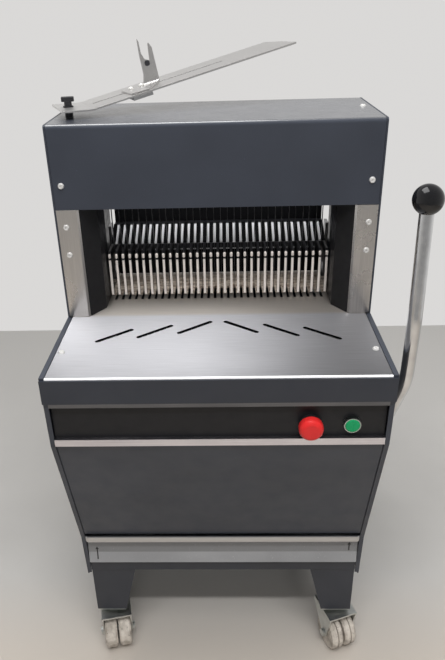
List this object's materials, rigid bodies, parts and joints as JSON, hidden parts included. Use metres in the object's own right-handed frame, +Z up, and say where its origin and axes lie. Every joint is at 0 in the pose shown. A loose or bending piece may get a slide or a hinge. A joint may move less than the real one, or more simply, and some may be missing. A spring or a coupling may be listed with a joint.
{
  "type": "bread slicer",
  "caption": "Floor-standing bread slicer on casters: upright blades under a hood, comb pusher worked by a side lever, stainless table, crumb drawer, bag arm and push buttons.",
  "frame": {"origin": "on the floor, below the middle of the machine's width, 300 mm behind the front edge of the table", "axes": "+X to the operator's right, where the lever is, +Y towards the back, +Z up"},
  "size_m": [0.6249, 0.6695, 1.2215],
  "materials": {
    "anthracite_paint": "satin powder coat",
    "grey_paint": "satin powder coat",
    "stainless": "brushed",
    "black_gloss": "gloss black",
    "bright_trim": "satin",
    "black_plastic": "matt",
    "ball_plastic": "polished",
    "red_plastic": "satin",
    "green_plastic": "satin",
    "chrome": "polished",
    "zinc": "zinc plated",
    "nylon": "worn",
    "blade_steel": "ground",
    "frame_steel": "machined",
    "motor_paint": "satin",
    "belt_rubber": "matt"
  },
  "bodies": {
    "chassis": {"left_side_panel": "anthracite_paint", "right_side_panel": "anthracite_paint", "hood_cover": "anthracite_paint", "post_plates": "stainless", "guide_cheeks": "black_gloss", "front_table": "stainless", "rear_table": "stainless", "side_liners": "anthracite_paint", "front_apron": "anthracite_paint", "trim_strips": "bright_trim", "control_panel": "black_gloss", "lower_front_panel": "anthracite_paint", "rear_panel": "anthracite_paint", "cable_gland": "black_plastic", "base_frame": "anthracite_paint", "legs": "anthracite_paint", "caster_plates": "zinc", "drawer_runners": "zinc", "frame_guide_rods": "frame_steel", "drive_belt": "belt_rubber", "shaft_bearings": "frame_steel", "motor": "motor_paint", "pusher_guide_rods": "frame_steel", "stop_collar": "black_plastic", "start_bezel": "chrome", "arm_spacer": "black_plastic", "cover_screws": "stainless"},
    "front_blade_set": {"front_blade_frame": "frame_steel", "front_blades": "blade_steel"},
    "rear_blade_set": {"rear_blade_frame": "frame_steel", "rear_blades": "blade_steel"},
    "crank": {"crankshaft": "frame_steel", "crank_pulley": "frame_steel"},
    "front_rods": {"front_connecting_rods": "frame_steel"},
    "rear_rods": {"rear_connecting_rods": "frame_steel"},
    "motor_rotor": {"motor_pulley": "frame_steel"},
    "lever": {"lever_shaft": "frame_steel", "lever_tube": "chrome", "lever_ball": "ball_plastic"},
    "pusher": {"pusher_comb": "stainless", "pusher_ribs": "black_plastic", "pusher_fingers": "stainless", "pusher_back_plate": "black_gloss", "pusher_carriage": "frame_steel"},
    "drawer": {"crumb_drawer": "grey_paint", "drawer_handle": "bright_trim"},
    "emergency_stop": {"stop_button": "red_plastic"},
    "start": {"start_button": "green_plastic"},
    "bag_holder": {"bag_arm": "stainless"},
    "clamp_knob": {"arm_knob": "black_plastic"},
    "bag_fork": {"bag_stop": "stainless", "bag_stop_clamp": "zinc"},
    "front_left_swivel": {"front_left_fork": "zinc"},
    "front_left_roll": {"front_left_wheels": "nylon"},
    "front_right_swivel": {"front_right_fork": "zinc"},
    "front_right_roll": {"front_right_wheels": "nylon"},
    "rear_left_swivel": {"rear_left_fork": "zinc"},
    "rear_left_roll": {"rear_left_wheels": "nylon"},
    "rear_right_swivel": {"rear_right_fork": "zinc"},
    "rear_right_roll": {"rear_right_wheels": "nylon"}
  },
  "joints": [
    {"name": "lever_swing", "type": "hinge", "parent": "chassis", "child": "lever", "pos_m": [0, -0.142, 0.51], "axis": [-1, 0, 0], "range_deg": [0, 60]},
    {"name": "pusher_slide", "type": "slide", "parent": "chassis", "child": "pusher", "axis": [0, 1, 0], "range_m": [0, 0.19]},
    {"name": "drawer_slide", "type": "slide", "parent": "chassis", "child": "drawer", "axis": [0, -1, 0], "range_m": [0, 0.24]},
    {"name": "front_blades_slide", "type": "slide", "parent": "chassis", "child": "front_blade_set", "axis": [0, 0, 1], "range_m": [-0.04, 0]},
    {"name": "rear_blades_slide", "type": "slide", "parent": "chassis", "child": "rear_blade_set", "axis": [0, 0, 1], "range_m": [0, 0.04]},
    {"name": "crank_turn", "type": "hinge", "parent": "chassis", "child": "crank", "pos_m": [0, 0.042, 0.414], "axis": [1, 0, 0], "continuous": true},
    {"name": "front_rods_pivot", "type": "hinge", "parent": "crank", "child": "front_rods", "pos_m": [0, 0.042, 0.434], "axis": [1, 0, 0], "continuous": true},
    {"name": "rear_rods_pivot", "type": "hinge", "parent": "crank", "child": "rear_rods", "pos_m": [0, 0.042, 0.394], "axis": [1, 0, 0], "continuous": true},
    {"name": "motor_turn", "type": "hinge", "parent": "chassis", "child": "motor_rotor", "pos_m": [0.215, 0.195, 0.328], "axis": [1, 0, 0], "continuous": true},
    {"name": "stop_press", "type": "slide", "parent": "chassis", "child": "emergency_stop", "axis": [0, 1, 0], "range_m": [0, 0.005]},
    {"name": "start_press", "type": "slide", "parent": "chassis", "child": "start", "axis": [0, 1, 0], "range_m": [0, 0.003], "stiffness_N_per_m": 800},
    {"name": "arm_swivel", "type": "hinge", "parent": "chassis", "child": "bag_holder", "pos_m": [-0.255, 0.015, 1.116], "axis": [0, 0, 1], "range_deg": [-116, 64]},
    {"name": "knob_turn", "type": "hinge", "parent": "chassis", "child": "clamp_knob", "pos_m": [-0.255, 0.015, 1.125], "axis": [0, 0, 1], "range_deg": [-90, 90]},
    {"name": "fork_slide", "type": "slide", "parent": "bag_holder", "child": "bag_fork", "axis": [0.8929, 0.3938, 0.2181], "range_m": [-0.065, 0.15]},
    {"name": "front_left_swivel_turn", "type": "hinge", "parent": "chassis", "child": "front_left_swivel", "pos_m": [-0.24025, -0.156, 0.1], "axis": [0, 0, 1], "continuous": true},
    {"name": "front_left_wheel_turn", "type": "hinge", "parent": "front_left_swivel", "child": "front_left_roll", "pos_m": [-0.23484, -0.18143, 0.0375], "axis": [0.9781, 0.2079, 0], "continuous": true},
    {"name": "front_right_swivel_turn", "type": "hinge", "parent": "chassis", "child": "front_right_swivel", "pos_m": [0.24025, -0.156, 0.1], "axis": [0, 0, 1], "continuous": true},
    {"name": "front_right_wheel_turn", "type": "hinge", "parent": "front_right_swivel", "child": "front_right_roll", "pos_m": [0.24914, -0.18043, 0.0375], "axis": [0.9397, 0.342, 0], "continuous": true},
    {"name": "rear_left_swivel_turn", "type": "hinge", "parent": "chassis", "child": "rear_left_swivel", "pos_m": [-0.24025, 0.276, 0.1], "axis": [0, 0, 1], "continuous": true},
    {"name": "rear_left_wheel_turn", "type": "hinge", "parent": "rear_left_swivel", "child": "rear_left_roll", "pos_m": [-0.23844, 0.25006, 0.0375], "axis": [0.9976, 0.0698, 0], "continuous": true},
    {"name": "rear_right_swivel_turn", "type": "hinge", "parent": "chassis", "child": "rear_right_swivel", "pos_m": [0.24025, 0.276, 0.1], "axis": [0, 0, 1], "continuous": true},
    {"name": "rear_right_wheel_turn", "type": "hinge", "parent": "rear_right_swivel", "child": "rear_right_roll", "pos_m": [0.23574, 0.25039, 0.0375], "axis": [0.9848, -0.1736, 0], "continuous": true}
  ],
  "couplings": [
    {"joint": "pusher_slide", "follows": "lever_swing", "m_per_rad": 0.18144},
    {"joint": "rear_blades_slide", "follows": "front_blades_slide", "ratio": -1},
    {"joint": "front_rods_pivot", "follows": "crank_turn", "ratio": -1},
    {"joint": "rear_rods_pivot", "follows": "crank_turn", "ratio": -1},
    {"joint": "motor_turn", "follows": "crank_turn", "ratio": 2.8125}
  ]
}
